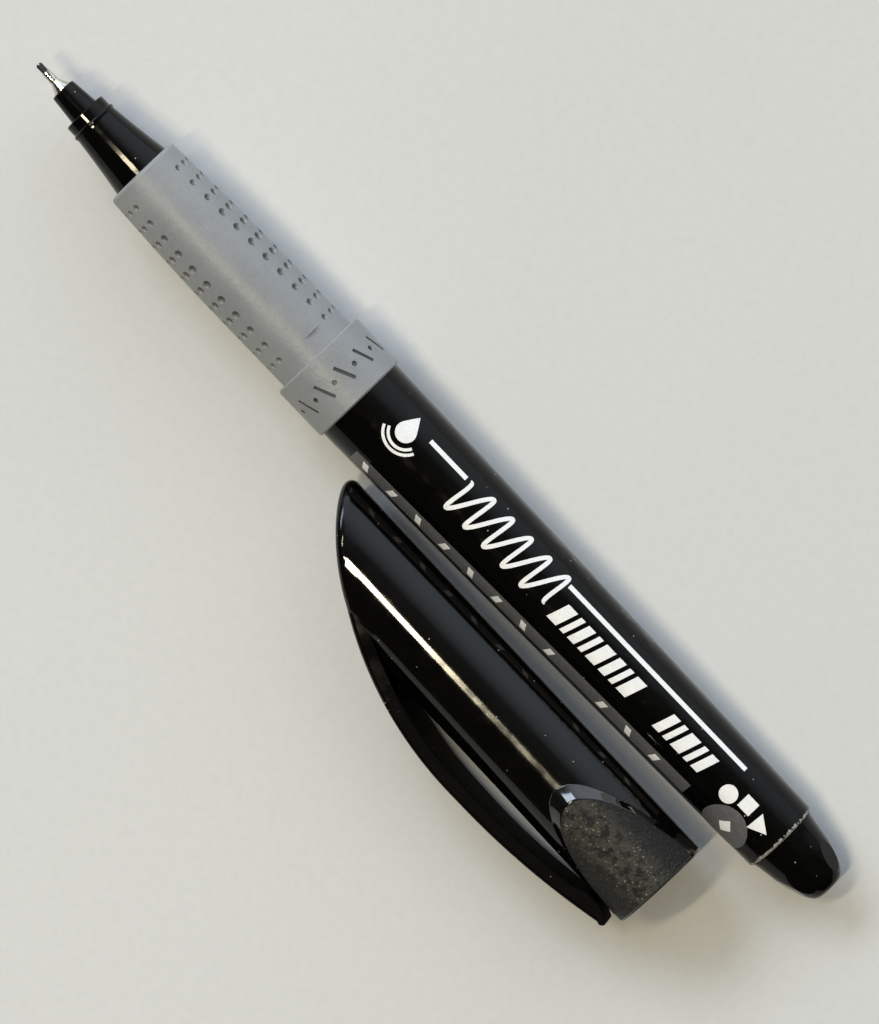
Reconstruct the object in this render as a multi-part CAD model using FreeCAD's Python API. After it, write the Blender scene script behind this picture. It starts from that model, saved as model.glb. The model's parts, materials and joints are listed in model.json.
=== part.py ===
import FreeCAD, Part
import math
import os

# Felt tip marker with its cap off and lying beside it.
# Millimetres, +Z up. The table is z = 0 and the origin is the middle of the whole on the table.
# The pen lies along X with its nib towards -X. The cap lies on the pen's -Y side, mouth towards +X.
#
# The pen and the cap are each built in a frame of their own, with the axis along X:
#   pen: x = 0 at the nib's tip
#   cap: x = 0 at the closed end, clip towards -Y, thumb pads towards +Z and -Z

Vector = FreeCAD.Vector
X_AXIS = Vector(1, 0, 0)
Y_AXIS = Vector(0, 1, 0)
Z_AXIS = Vector(0, 0, 1)
FULL_TURN = 360
FAR = 40

# ---------------------------------------------------------------- driving dimensions: pen
NIB_RADIUS = 0.385
NIB_REAR_X = 6.5
NIB_GROOVE_WIDTH = 0.14
NIB_GROOVE_DEPTH = 0.16

FERRULE_FRONT_X = 1.2
FERRULE_CONE_X = 2.7
FERRULE_BODY_X = 3.9
FERRULE_REAR_X = 8.0
FERRULE_TUBE_RADIUS = 0.51
FERRULE_BODY_RADIUS = 1.1

HOLDER_FRONT_X = 3.95
HOLDER_FRONT_RADIUS = 1.52
HOLDER_REAR_RADIUS = 1.85
HOLDER_STEM_RADIUS = 1.8
HOLDER_REAR_X = 14.0

WICK_RADIUS = 1.25
WICK_TIP_RADIUS = 0.85
WICK_REAR_X = 32.0

FLANGE_X = 7.45
FLANGE_RADIUS = 2.66
BEAD_X = 9.0
BEAD_RADIUS = 2.86
CONE_X = 9.5
CONE_RADIUS = 2.76
GRIP_X = 16.7
CONE_REAR_RADIUS = 3.75
NECK_X = 18.0
NECK_RADIUS = 3.98
COLLAR_X = 45.1
BARREL_X = 52.0
PLUG_REAR_X = 60.0
PLUG_RADIUS = 4.6
SOCKET_FLOOR_X = 22.0

GRIP_FRONT_RADIUS = 4.66
GRIP_REAR_RADIUS = 5.14
GRIP_SWELL_LENGTH = 17.0
COLLAR_RADIUS = 6.02
DIMPLE_COLUMNS = 11
DIMPLE_PITCH = 2.33
DIMPLE_FIRST_X = 19.3
DIMPLE_GROUPS = 3
DIMPLE_GROUP_ANGLE = 60.0
DIMPLE_ROW_ANGLE = 17.0
DIMPLE_RADIUS_SMALL = 0.34
DIMPLE_RADIUS_LARGE = 0.52
DIMPLE_DEPTH = 0.40
TICK_X = 43.1
TICK_WIDTH = 0.5
TICK_LENGTH = 3.2
TICK_DEPTH = 0.16
TICK_ANGLE = 15.0
ORNAMENT_X = 48.65
ORNAMENT_HEIGHT = 2.7
ORNAMENT_DEPTH = 0.22
ORNAMENT_STROKE = 0.42
ORNAMENT_STEP = 15.0
ORNAMENT_COUNT = 10
ORNAMENT_LEAN = 24.0

BARREL_REAR_X = 120.3
BARREL_FRONT_RADIUS = 5.64
BARREL_REAR_RADIUS = 4.65
BORE_FRONT_RADIUS = 4.45
BORE_REAR_RADIUS = 3.85
RIB_COUNT = 6
RIB_WIDTH = 0.8
SPIGOT_X = 112.0
SPIGOT_RADIUS = 3.8
TAIL_X = 128.1
TAIL_FRONT_RADIUS = 4.27
TAIL_TAPER = [(124.4, 3.6), (126.9, 2.74), (127.75, 2.15)]
TAIL_CHAMFER = (128.0, 1.8)
TAIL_END_RADIUS = 1.5
TAIL_FACETS = 8
TAIL_FACET_START = (122.9, 3.93)
TAIL_FACET_SLOPE = 17.5
TAIL_FACET_ANGLE = -8.0
TAIL_HOLLOW = [(125.5, 0), (125.0, 1.45), (123.0, 2.9)]

RESERVOIR_X = 28.0
RESERVOIR_REAR_X = 110.0
RESERVOIR_RADIUS = 3.24
FILM_THICKNESS = 0.12

FIT = 0.02

# ---------------------------------------------------------------- driving dimensions: cap
CAP_LENGTH = 57.2
CAP_BLANK_X = -1.5
CAP_MOUTH_RADIUS = 6.05
CAP_END_RADIUS = 5.95
CAP_BORE_RADIUS = 5.36
CAP_BORE_END_X = 24.0
CAP_RECESS_X = 17.0
CAP_RECESS_RADIUS = 4.7
CAP_EDGE_ROUND = 0.3
CAP_END_ROUND = 0.9

LINER_SOCKET_X = 13.0
LINER_NOSE_X = 10.4
LINER_RADIUS = 3.6
LINER_NOSE_RADIUS = 2.2
LINER_MOUTH_X = 23.0
LINER_WALL = 0.65

CLIP_APEX_X = 33.5
CLIP_APEX_HEIGHT = 9.9
CLIP_CREST_LENGTH = 2.5
CLIP_ROOT_ARC_RADIUS = 45.5
CLIP_TIP_ARC_RADIUS = 88.0
CLIP_THICKNESS = 1.85
CLIP_SPLIT_X = 21.2
CLIP_SPLIT_GAP = 0.03
CLIP_TIP_X = 56.1
CLIP_TIP_ROUND = 0.6
CLIP_NUB_X = 50.6
CLIP_NUB_FRONT_X = 52.2
CLIP_NUB_REAR_X = 53.7
CLIP_NUB_HEIGHT = 6.14
CLIP_EDGE_ROUND = 0.6
CLIP_INNER_ROUND = 0.22
CLIP_HALF_WIDTHS = [(4.0, 4.75), (14.0, 4.72), (26.0, 4.1), (40.0, 3.15), (58.0, 2.5)]

PAD_LENGTH = 13.9
PAD_HALF_WIDTH = 5.5
PAD_CREST_RADIUS = 6.85
PAD_MOUTH_RADIUS = 6.12
PAD_FOOT_HEIGHT = 1.0

# ---------------------------------------------------------------- how the two lie on the table
CAP_END_AT_PEN_X = 57.46
CAP_OFFSET_AT_END = 12.54
CAP_OFFSET_AT_MOUTH = 13.40
CAP_ROLL = 12.5
CAP_FOOT_X = 6.3


# ---------------------------------------------------------------- shape helpers
def curve(points):
    """Edge through the points: straight for two of them, a smooth curve for more."""
    ends = [Vector(*point) for point in points]
    if len(ends) == 2:
        return Part.makeLine(ends[0], ends[1])
    spline = Part.BSplineCurve()
    spline.interpolate(ends)
    return spline.toShape()


def lathe(*runs):
    """Solid turned about X. Each run of (x, radius) points is one edge, and the outline closes itself."""
    runs = [[(x, radius, 0) for x, radius in run] for run in runs]
    edges = []
    for index, run in enumerate(runs):
        edges.append(curve(run))
        following = runs[(index + 1) % len(runs)][0]
        if run[-1] != following:
            edges.append(curve([run[-1], following]))
    face = Part.Face(Part.Wire(edges))
    return face.revolve(Vector(0, 0, 0), X_AXIS, FULL_TURN)


def turned(points):
    """Solid turned about X from straight-sided (x, radius) corners."""
    return lathe(*[[points[index], points[(index + 1) % len(points)]] for index in range(len(points))])


def rod(start_x, end_x, radius):
    return Part.makeCylinder(radius, end_x - start_x, Vector(start_x, 0, 0), X_AXIS)


def about_x(shape, angle):
    """The shape turned about the X axis, counter-clockwise as seen from +X."""
    copy = shape.copy()
    copy.rotate(Vector(0, 0, 0), X_AXIS, angle)
    return copy


def block(centre, size, lean=0):
    """Box centred on a point, leaning about the vertical."""
    corner = centre - Vector(*size) * 0.5
    box = Part.makeBox(size[0], size[1], size[2], corner)
    box.rotate(centre, Z_AXIS, lean)
    return box


def rounded(solid, radius, chosen):
    """The solid with the edges that pass the test rounded."""
    edges = [edge for edge in solid.Edges if chosen(edge)]
    return solid.makeFillet(radius, edges)


# ---------------------------------------------------------------- pen: writing end
def make_nib():
    tip_round = 0.22
    nib = rod(0, NIB_REAR_X, NIB_RADIUS)
    nib = rounded(nib, tip_round, lambda edge: edge.BoundBox.XMax < 0.01)
    groove = block(Vector(0, 0, 0), (2 * NIB_GROOVE_DEPTH, NIB_GROOVE_WIDTH, 4 * NIB_RADIUS))
    return nib.cut(groove)


def make_nib_ferrule():
    lip = 0.06
    rear_bore = WICK_TIP_RADIUS + 0.05
    seat_x = NIB_REAR_X - 1.1
    return turned([
        (FERRULE_FRONT_X, NIB_RADIUS + FIT / 2),
        (FERRULE_FRONT_X, FERRULE_TUBE_RADIUS - lip),
        (FERRULE_FRONT_X + lip, FERRULE_TUBE_RADIUS),
        (FERRULE_CONE_X, FERRULE_TUBE_RADIUS),
        (FERRULE_BODY_X, FERRULE_BODY_RADIUS),
        (FERRULE_REAR_X, FERRULE_BODY_RADIUS),
        (FERRULE_REAR_X, rear_bore),
        (seat_x, rear_bore),
        (seat_x, NIB_RADIUS + FIT / 2),
    ])


def make_nib_holder():
    edge = 0.12
    wick_bore = WICK_RADIUS + 0.05
    ferrule_bore = FERRULE_BODY_RADIUS + FIT
    return turned([
        (HOLDER_FRONT_X, ferrule_bore),
        (HOLDER_FRONT_X, HOLDER_FRONT_RADIUS - edge),
        (HOLDER_FRONT_X + edge, HOLDER_FRONT_RADIUS),
        (FLANGE_X, HOLDER_REAR_RADIUS),
        (FLANGE_X, HOLDER_STEM_RADIUS),
        (HOLDER_REAR_X, HOLDER_STEM_RADIUS),
        (HOLDER_REAR_X, wick_bore),
        (FERRULE_REAR_X, wick_bore),
        (FERRULE_REAR_X, ferrule_bore),
    ])


def make_feed_wick():
    shoulder_x = FERRULE_REAR_X + 0.1
    point_length = 1.5
    return turned([
        (NIB_REAR_X, 0),
        (NIB_REAR_X, WICK_TIP_RADIUS),
        (shoulder_x, WICK_TIP_RADIUS),
        (shoulder_x + 0.4, WICK_RADIUS),
        (WICK_REAR_X - point_length, WICK_RADIUS),
        (WICK_REAR_X, WICK_RADIUS / 2),
        (WICK_REAR_X, 0),
    ])


def make_front_section():
    """Sealing flange and bead, glossy cone, then the neck under the grip and the plug in the barrel."""
    edge = 0.1
    bead_half = 0.3
    waist = 0.05
    stem_bore = HOLDER_STEM_RADIUS + FIT
    wick_bore = WICK_RADIUS + 0.05
    reservoir_bore = RESERVOIR_RADIUS + FILM_THICKNESS + 3 * FIT
    middle_x = (CONE_X + GRIP_X) / 2
    middle_radius = (CONE_RADIUS + CONE_REAR_RADIUS) / 2 - waist
    return lathe(
        [(FLANGE_X, stem_bore), (FLANGE_X, FLANGE_RADIUS - edge)],
        [(FLANGE_X + edge, FLANGE_RADIUS), (BEAD_X - bead_half, FLANGE_RADIUS)],
        [(BEAD_X - bead_half, FLANGE_RADIUS), (BEAD_X, BEAD_RADIUS), (BEAD_X + bead_half, CONE_RADIUS)],
        [(CONE_X, CONE_RADIUS), (middle_x, middle_radius), (GRIP_X, CONE_REAR_RADIUS)],
        [(NECK_X, CONE_REAR_RADIUS), (NECK_X, NECK_RADIUS)],
        [(BARREL_X, NECK_RADIUS), (BARREL_X, PLUG_RADIUS)],
        [(PLUG_REAR_X - 4 * edge, PLUG_RADIUS), (PLUG_REAR_X, PLUG_RADIUS - 3 * edge)],
        [(PLUG_REAR_X, reservoir_bore), (RESERVOIR_X - 1, reservoir_bore)],
        [(SOCKET_FLOOR_X, wick_bore), (HOLDER_REAR_X, wick_bore)],
        [(HOLDER_REAR_X, stem_bore), (FLANGE_X, stem_bore)],
    )


# ---------------------------------------------------------------- pen: grip
def dimple_cutters():
    """Balls that press graded rows of round dimples into the grip, in groups of three rows."""
    balls = []
    last = DIMPLE_COLUMNS - 1
    for column in range(DIMPLE_COLUMNS):
        x = DIMPLE_FIRST_X + column * DIMPLE_PITCH
        swell = math.sin(math.pi * (column + 1) / (last + 2))
        width = DIMPLE_RADIUS_SMALL + (DIMPLE_RADIUS_LARGE - DIMPLE_RADIUS_SMALL) * swell
        depth = DIMPLE_DEPTH * width / DIMPLE_RADIUS_LARGE
        ball_radius = (width ** 2 + depth ** 2) / (2 * depth)
        height = grip_radius(x) - depth + ball_radius
        ball = Part.makeSphere(ball_radius, Vector(x, 0, height))
        for group in range(DIMPLE_GROUPS):
            centre = DIMPLE_GROUP_ANGLE + group * FULL_TURN / DIMPLE_GROUPS
            for row in (-1, 0, 1):
                balls.append(about_x(ball, centre + row * DIMPLE_ROW_ANGLE))
    return balls


def grip_radius(x):
    """Outer radius of the grip, which swells a little from its front edge to its middle."""
    share = min(1, (x - GRIP_X) / GRIP_SWELL_LENGTH)
    return GRIP_FRONT_RADIUS + (GRIP_REAR_RADIUS - GRIP_FRONT_RADIUS) * math.sin(share * math.pi / 2)


def collar_ornament():
    """Plain engraved ornament round the collar: leaning strokes with a dot between each pair."""
    cutters = []
    depth_radius = COLLAR_RADIUS - ORNAMENT_DEPTH
    lift = Vector(ORNAMENT_X, 0, depth_radius + 1)
    stroke = block(lift, (ORNAMENT_HEIGHT, ORNAMENT_STROKE, 2), ORNAMENT_LEAN)
    dot = Part.makeCylinder(ORNAMENT_STROKE * 0.75, 2, Vector(ORNAMENT_X, 0, depth_radius), Z_AXIS)
    for index in range(ORNAMENT_COUNT):
        angle = (index - (ORNAMENT_COUNT - 1) / 2) * ORNAMENT_STEP
        cutters.append(about_x(stroke if index % 2 == 0 else dot, angle))
    return cutters


def make_grip_sleeve():
    edge = 0.4
    collar_edge = 0.18
    lip_bore = CONE_REAR_RADIUS + FIT
    neck_bore = NECK_RADIUS + FIT
    lip_x = GRIP_X + 0.3 * edge
    lip = (lip_x, grip_radius(GRIP_X) - 0.3 * edge)
    stations = [GRIP_X + edge, 22.0, 28.0, 34.0]
    swell = [(x, grip_radius(x)) for x in stations]
    sleeve = lathe(
        [(GRIP_X, lip_bore), (GRIP_X, GRIP_FRONT_RADIUS - edge)],
        [(GRIP_X, GRIP_FRONT_RADIUS - edge), lip, swell[0]],
        swell,
        [(COLLAR_X, GRIP_REAR_RADIUS), (COLLAR_X, COLLAR_RADIUS - collar_edge)],
        [(COLLAR_X + collar_edge, COLLAR_RADIUS), (BARREL_X - collar_edge, COLLAR_RADIUS)],
        [(BARREL_X, COLLAR_RADIUS - collar_edge), (BARREL_X, neck_bore)],
        [(NECK_X, neck_bore), (NECK_X, lip_bore)],
    )
    tick_height = GRIP_REAR_RADIUS - TICK_DEPTH + 1
    tick = block(Vector(TICK_X, 0, tick_height), (TICK_WIDTH, TICK_LENGTH, 2))
    cutters = dimple_cutters() + collar_ornament() + [about_x(tick, -TICK_ANGLE)]
    return sleeve.cut(cutters)


# ---------------------------------------------------------------- pen: barrel and ink
def barrel_radius(x):
    """Outer radius of the barrel, a shallow convex taper towards the tail."""
    share = (x - BARREL_X) / (BARREL_REAR_X - BARREL_X)
    drop = BARREL_FRONT_RADIUS - BARREL_REAR_RADIUS
    bulge = 0.05
    return BARREL_FRONT_RADIUS - drop * share + 4 * bulge * share * (1 - share)


def make_barrel():
    edge = 0.22
    span = BARREL_REAR_X - edge - BARREL_X
    stations = [BARREL_X + span * step / 4 for step in range(5)]
    outside = [(x, barrel_radius(x)) for x in stations]
    socket = PLUG_RADIUS + FIT
    spigot_bore = SPIGOT_RADIUS + FIT
    barrel = lathe(
        [(BARREL_X, socket), (BARREL_X, BARREL_FRONT_RADIUS)],
        outside,
        [(BARREL_REAR_X, BARREL_REAR_RADIUS - edge), (BARREL_REAR_X, spigot_bore)],
        [(SPIGOT_X, spigot_bore), (SPIGOT_X, BORE_REAR_RADIUS)],
        [(PLUG_REAR_X + FIT, BORE_FRONT_RADIUS), (PLUG_REAR_X + FIT, socket)],
    )
    return barrel.fuse(barrel_ribs()).removeSplitter()


def barrel_ribs():
    """Lengthwise ribs inside the barrel that hold the reservoir off its wall."""
    start_x = PLUG_REAR_X + 2
    end_x = RESERVOIR_REAR_X
    foot_radius = BORE_FRONT_RADIUS + 0.2
    tip_radius = RESERVOIR_RADIUS + FILM_THICKNESS + 3 * FIT
    height = foot_radius - tip_radius
    length = end_x - start_x
    centre = Vector((start_x + end_x) / 2, 0, (foot_radius + tip_radius) / 2)
    rib = block(centre, (length, RIB_WIDTH, height))
    rib = rib.cut(rod(start_x - 1, end_x + 1, tip_radius + FIT))
    return [about_x(rib, index * FULL_TURN / RIB_COUNT) for index in range(RIB_COUNT)]


def make_ink_reservoir():
    reservoir = rod(RESERVOIR_X, RESERVOIR_REAR_X, RESERVOIR_RADIUS)
    return reservoir.cut(make_feed_wick())


def make_reservoir_film():
    film = rod(RESERVOIR_X, RESERVOIR_REAR_X, RESERVOIR_RADIUS + FILM_THICKNESS)
    return film.cut(rod(RESERVOIR_X - 1, RESERVOIR_REAR_X + 1, RESERVOIR_RADIUS))


def tail_facet(angle):
    """Flat cut that shaves the tail towards its end, shallow in front and deeper behind."""
    start_x, height = TAIL_FACET_START
    start = Vector(start_x, 0, height)
    cutter = Part.makeBox(FAR, 2 * FAR, FAR, start - Vector(FAR / 2, FAR, 0))
    cutter.rotate(start, Y_AXIS, TAIL_FACET_SLOPE)
    return about_x(cutter, angle)


def make_tail_plug():
    edge = 0.12
    hollow_end, hollow_middle, hollow_front = TAIL_HOLLOW
    hollow_radius = hollow_front[1]
    shoulder = (BARREL_REAR_X + edge, TAIL_FRONT_RADIUS)
    tail = lathe(
        [(SPIGOT_X, hollow_radius), (SPIGOT_X, SPIGOT_RADIUS - edge)],
        [(SPIGOT_X + edge, SPIGOT_RADIUS), (BARREL_REAR_X, SPIGOT_RADIUS)],
        [(BARREL_REAR_X, TAIL_FRONT_RADIUS - edge), shoulder],
        [shoulder] + TAIL_TAPER,
        [TAIL_TAPER[-1], TAIL_CHAMFER, (TAIL_X, TAIL_END_RADIUS)],
        [(TAIL_X, 0), hollow_end],
        [hollow_middle, hollow_front],
    )
    turn = FULL_TURN / TAIL_FACETS
    facets = [tail_facet(TAIL_FACET_ANGLE + index * turn) for index in range(TAIL_FACETS)]
    return tail.cut(facets)


# ---------------------------------------------------------------- cap: slanted end and clip
def cap_point(x, height):
    """Point in the cap's middle plane, its height measured from the axis towards the clip."""
    return Vector(x, -height, 0)


def arc_height(x, inset=0):
    """Height of the clip's outer line above the axis, or of the line a given depth inside it."""
    crest_end = CLIP_APEX_X + CLIP_CREST_LENGTH
    if x <= CLIP_APEX_X:
        radius = CLIP_ROOT_ARC_RADIUS
        reach = CLIP_APEX_X - x
    elif x >= crest_end:
        radius = CLIP_TIP_ARC_RADIUS
        reach = x - crest_end
    else:
        return CLIP_APEX_HEIGHT - inset
    centre_height = CLIP_APEX_HEIGHT - radius
    return centre_height + math.sqrt((radius - inset) ** 2 - reach ** 2)


def clip_line(start_x, end_x, inset=0):
    """Edges along the clip's outer line, or the line inside it: arc, straight crest, arc."""
    crest_end = CLIP_APEX_X + CLIP_CREST_LENGTH
    stops = [start_x] + [x for x in (CLIP_APEX_X, crest_end) if start_x < x < end_x] + [end_x]
    edges = []
    for left, right in zip(stops, stops[1:]):
        middle = (left + right) / 2
        first, between, last = [cap_point(x, arc_height(x, inset)) for x in (left, middle, right)]
        if CLIP_APEX_X <= middle <= crest_end:
            edges.append(Part.makeLine(first, last))
        else:
            edges.append(Part.Arc(first, between, last).toShape())
    return edges


def prism(edges):
    """Closed outline in the cap's middle plane, extruded the same way up and down."""
    face = Part.Face(Part.Wire(edges))
    face.translate(Vector(0, 0, -FAR))
    return face.extrude(Vector(0, 0, 2 * FAR))


def chain(points):
    return [Part.makeLine(first, last) for first, last in zip(points, points[1:])]


def under_clip_line():
    """Everything on the cap's side of the clip's outer line."""
    end_x = CAP_LENGTH + 1
    edges = clip_line(CAP_BLANK_X, end_x)
    corners = [
        cap_point(end_x, arc_height(end_x)),
        cap_point(end_x + FAR, -FAR),
        cap_point(CAP_BLANK_X, -FAR),
        cap_point(CAP_BLANK_X, arc_height(CAP_BLANK_X)),
    ]
    return prism(edges + chain(corners))


def clip_plan():
    """The clip's width as seen from its own side, tapering towards the tip."""
    upper = [Vector(x, 0, half) for x, half in CLIP_HALF_WIDTHS]
    lower = [Vector(x, 0, -half) for x, half in reversed(CLIP_HALF_WIDTHS)]
    sides = []
    for points in (upper, lower):
        spline = Part.BSplineCurve()
        spline.interpolate(points)
        sides.append(spline.toShape())
    ends = [Part.makeLine(upper[-1], lower[0]), Part.makeLine(lower[-1], upper[0])]
    face = Part.Face(Part.Wire([sides[0], ends[0], sides[1], ends[1]]))
    return face.extrude(Vector(0, -FAR, 0))


def clip_root():
    """The stretch of clip that stays with the cap, from the slanted end to the bending line."""
    back_x = 9.0
    back_height = 1.0
    inner_x = 13.6
    outer_line = clip_line(back_x, CLIP_SPLIT_X)
    inner_line = list(reversed(clip_line(inner_x, CLIP_SPLIT_X, CLIP_THICKNESS)))
    split_face = chain([
        cap_point(CLIP_SPLIT_X, arc_height(CLIP_SPLIT_X)),
        cap_point(CLIP_SPLIT_X, arc_height(CLIP_SPLIT_X, CLIP_THICKNESS)),
    ])
    inside_cap = chain([
        cap_point(inner_x, arc_height(inner_x, CLIP_THICKNESS)),
        cap_point(back_x, back_height),
        cap_point(back_x, arc_height(back_x)),
    ])
    root = prism(outer_line + split_face + inner_line + inside_cap).common(clip_plan()).Solids[0]
    return rounded(root, CLIP_EDGE_ROUND, is_clip_side_edge)


def make_cap_clip():
    """Curved clip with a nub near its tip that presses on the cap."""
    start_x = CLIP_SPLIT_X + CLIP_SPLIT_GAP
    shoulder_x = CLIP_TIP_X - CLIP_TIP_ROUND
    edges = clip_line(start_x, shoulder_x)
    inside = reversed(clip_line(start_x, CLIP_NUB_X, CLIP_THICKNESS))
    tip_height = arc_height(shoulder_x)
    tip_drop = 0.9 * CLIP_TIP_ROUND
    nub_side = [
        cap_point(CLIP_TIP_X, tip_height - tip_drop),
        cap_point(CLIP_NUB_REAR_X, CLIP_NUB_HEIGHT),
        cap_point(CLIP_NUB_FRONT_X, CLIP_NUB_HEIGHT),
        cap_point(CLIP_NUB_X, arc_height(CLIP_NUB_X, CLIP_THICKNESS)),
    ]
    tip = Part.Arc(
        cap_point(shoulder_x, tip_height),
        cap_point(CLIP_TIP_X - 0.2 * CLIP_TIP_ROUND, tip_height - 0.3 * CLIP_TIP_ROUND),
        cap_point(CLIP_TIP_X, tip_height - tip_drop),
    ).toShape()
    root = [
        cap_point(start_x, arc_height(start_x, CLIP_THICKNESS)),
        cap_point(start_x, arc_height(start_x)),
    ]
    outline = edges + [tip] + chain(nub_side) + list(inside) + chain(root)
    clip = prism(outline).common(clip_plan()).Solids[0]
    clip = rounded(clip, CLIP_EDGE_ROUND, is_clip_side_edge).Solids[0]
    return rounded(clip, CLIP_INNER_ROUND, is_clip_inner_edge)


def is_clip_side_edge(edge):
    """True for the long edges between the clip's sides and its outer face."""
    box = edge.BoundBox
    one_side = box.ZMin > 1 or box.ZMax < -1
    middle = edge.valueAt((edge.FirstParameter + edge.LastParameter) / 2)
    outer = abs(-middle.y - arc_height(middle.x)) < 0.05
    return one_side and outer and box.XLength > 1


def is_clip_inner_edge(edge):
    """True for the long edges between the clip's sides and its inner face, nub included."""
    box = edge.BoundBox
    one_side = box.ZMin > 1 or box.ZMax < -1
    middle = edge.valueAt((edge.FirstParameter + edge.LastParameter) / 2)
    inner = arc_height(middle.x) + middle.y > CLIP_THICKNESS - 0.05
    return one_side and inner and box.XLength > 1


# ---------------------------------------------------------------- cap: thumb pads and shell
def pad_outline():
    """Half ellipse round the pad, its straight side just past the mouth."""
    points = []
    for step in range(9):
        angle = math.pi / 2 + math.pi * step / 8
        x = CAP_LENGTH + PAD_LENGTH * math.cos(angle)
        points.append(Vector(x, PAD_HALF_WIDTH * math.sin(angle), PAD_FOOT_HEIGHT))
    spline = Part.BSplineCurve()
    spline.interpolate(points)
    past = Vector(2, 0, 0)
    corners = [points[-1], points[-1] + past, points[0] + past, points[0]]
    return Part.Wire([spline.toShape()] + chain(corners))


def thumb_pad():
    """Raised ramp for the thumb, highest at its rounded front and almost flush at the mouth."""
    mound = Part.Face(pad_outline()).extrude(Vector(0, 0, FAR))
    clear_of_pad = 6
    front_x = CAP_LENGTH - PAD_LENGTH - clear_of_pad
    slope = (PAD_CREST_RADIUS - PAD_MOUTH_RADIUS) / PAD_LENGTH
    front_radius = PAD_MOUTH_RADIUS + slope * (CAP_LENGTH - front_x)
    ramp = turned([
        (front_x, 0),
        (front_x, front_radius),
        (CAP_LENGTH - CAP_EDGE_ROUND, PAD_MOUTH_RADIUS),
        (CAP_LENGTH, PAD_MOUTH_RADIUS - CAP_EDGE_ROUND),
        (CAP_LENGTH, 0),
    ])
    return mound.common(ramp)


def cap_cavity():
    """The bore for the pen, then a narrower recess round the liner and the liner's socket."""
    mouth_chamfer = 0.25
    return turned([
        (LINER_NOSE_X, 0),
        (LINER_NOSE_X, LINER_NOSE_RADIUS + FIT),
        (LINER_SOCKET_X, LINER_NOSE_RADIUS + FIT),
        (LINER_SOCKET_X, LINER_RADIUS + FIT),
        (CAP_RECESS_X, LINER_RADIUS + FIT),
        (CAP_RECESS_X, CAP_RECESS_RADIUS),
        (LINER_MOUTH_X, CAP_RECESS_RADIUS),
        (CAP_BORE_END_X, CAP_BORE_RADIUS),
        (CAP_LENGTH - mouth_chamfer, CAP_BORE_RADIUS),
        (CAP_LENGTH, CAP_BORE_RADIUS + mouth_chamfer),
        (CAP_LENGTH + 1, CAP_BORE_RADIUS + mouth_chamfer),
        (CAP_LENGTH + 1, 0),
    ])


def make_cap_shell():
    """Tube with its end cut off along the clip's line, the clip's root, two thumb pads and the bore."""
    tube = turned([
        (CAP_BLANK_X, 0),
        (CAP_BLANK_X, CAP_END_RADIUS),
        (CAP_LENGTH - CAP_EDGE_ROUND, CAP_MOUTH_RADIUS),
        (CAP_LENGTH, CAP_MOUTH_RADIUS - CAP_EDGE_ROUND),
        (CAP_LENGTH, 0),
    ])
    body = about_x(tube, FULL_TURN / 2).common(under_clip_line()).Solids[0]
    body = rounded(body, CAP_END_ROUND, lambda edge: edge.BoundBox.XMax < CAP_LENGTH / 2)
    body = body.fuse(clip_root()).removeSplitter()
    upper_pad = thumb_pad()
    lower_pad = about_x(upper_pad, FULL_TURN / 2)
    body = body.fuse([upper_pad, lower_pad]).removeSplitter()
    return body.cut(cap_cavity())


def make_cap_liner():
    """Soft cup inside the cap that seals round the bead in front of the grip."""
    wall = LINER_WALL
    tip_wall = 0.4
    return turned([
        (LINER_NOSE_X, 0),
        (LINER_NOSE_X, LINER_NOSE_RADIUS),
        (LINER_SOCKET_X, LINER_NOSE_RADIUS),
        (LINER_SOCKET_X, LINER_RADIUS),
        (LINER_MOUTH_X, LINER_RADIUS),
        (LINER_MOUTH_X, LINER_RADIUS - wall + 0.2),
        (LINER_MOUTH_X - 0.8, LINER_RADIUS - wall),
        (LINER_SOCKET_X + wall, LINER_RADIUS - wall),
        (LINER_SOCKET_X + wall, LINER_NOSE_RADIUS - wall),
        (LINER_NOSE_X + tip_wall, LINER_NOSE_RADIUS - wall),
        (LINER_NOSE_X + tip_wall, 0),
    ])


# ---------------------------------------------------------------- assembly
PEN_PARTS = {
    "nib": make_nib,
    "nib_ferrule": make_nib_ferrule,
    "nib_holder": make_nib_holder,
    "feed_wick": make_feed_wick,
    "front_section": make_front_section,
    "grip_sleeve": make_grip_sleeve,
    "barrel": make_barrel,
    "ink_reservoir": make_ink_reservoir,
    "reservoir_film": make_reservoir_film,
    "tail_plug": make_tail_plug,
}
CAP_PARTS = {
    "cap_shell": make_cap_shell,
    "cap_clip": make_cap_clip,
    "cap_liner": make_cap_liner,
}


def pen_placement():
    """The pen rests on its collar and on the barrel's rear edge, so its tail end is lower."""
    pitch = math.degrees(math.atan2(COLLAR_RADIUS - BARREL_REAR_RADIUS, BARREL_REAR_X - BARREL_X))
    return FreeCAD.Placement(Vector(0, 0, 0), FreeCAD.Rotation(Y_AXIS, pitch))


def cap_placement():
    """The cap lies on its lower thumb pad and its closed end, rolled until the clip meets the table."""
    pad_x = CAP_LENGTH - PAD_LENGTH
    pitch = -math.degrees(math.atan2(PAD_CREST_RADIUS - CAP_END_RADIUS, pad_x - CAP_FOOT_X))
    yaw = -math.degrees(math.atan2(CAP_OFFSET_AT_MOUTH - CAP_OFFSET_AT_END, CAP_LENGTH))
    turn = FreeCAD.Rotation(Z_AXIS, yaw)
    turn = turn.multiply(FreeCAD.Rotation(Y_AXIS, pitch))
    turn = turn.multiply(FreeCAD.Rotation(X_AXIS, CAP_ROLL))
    return FreeCAD.Placement(Vector(CAP_END_AT_PEN_X, -CAP_OFFSET_AT_END, 0), turn)


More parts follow.
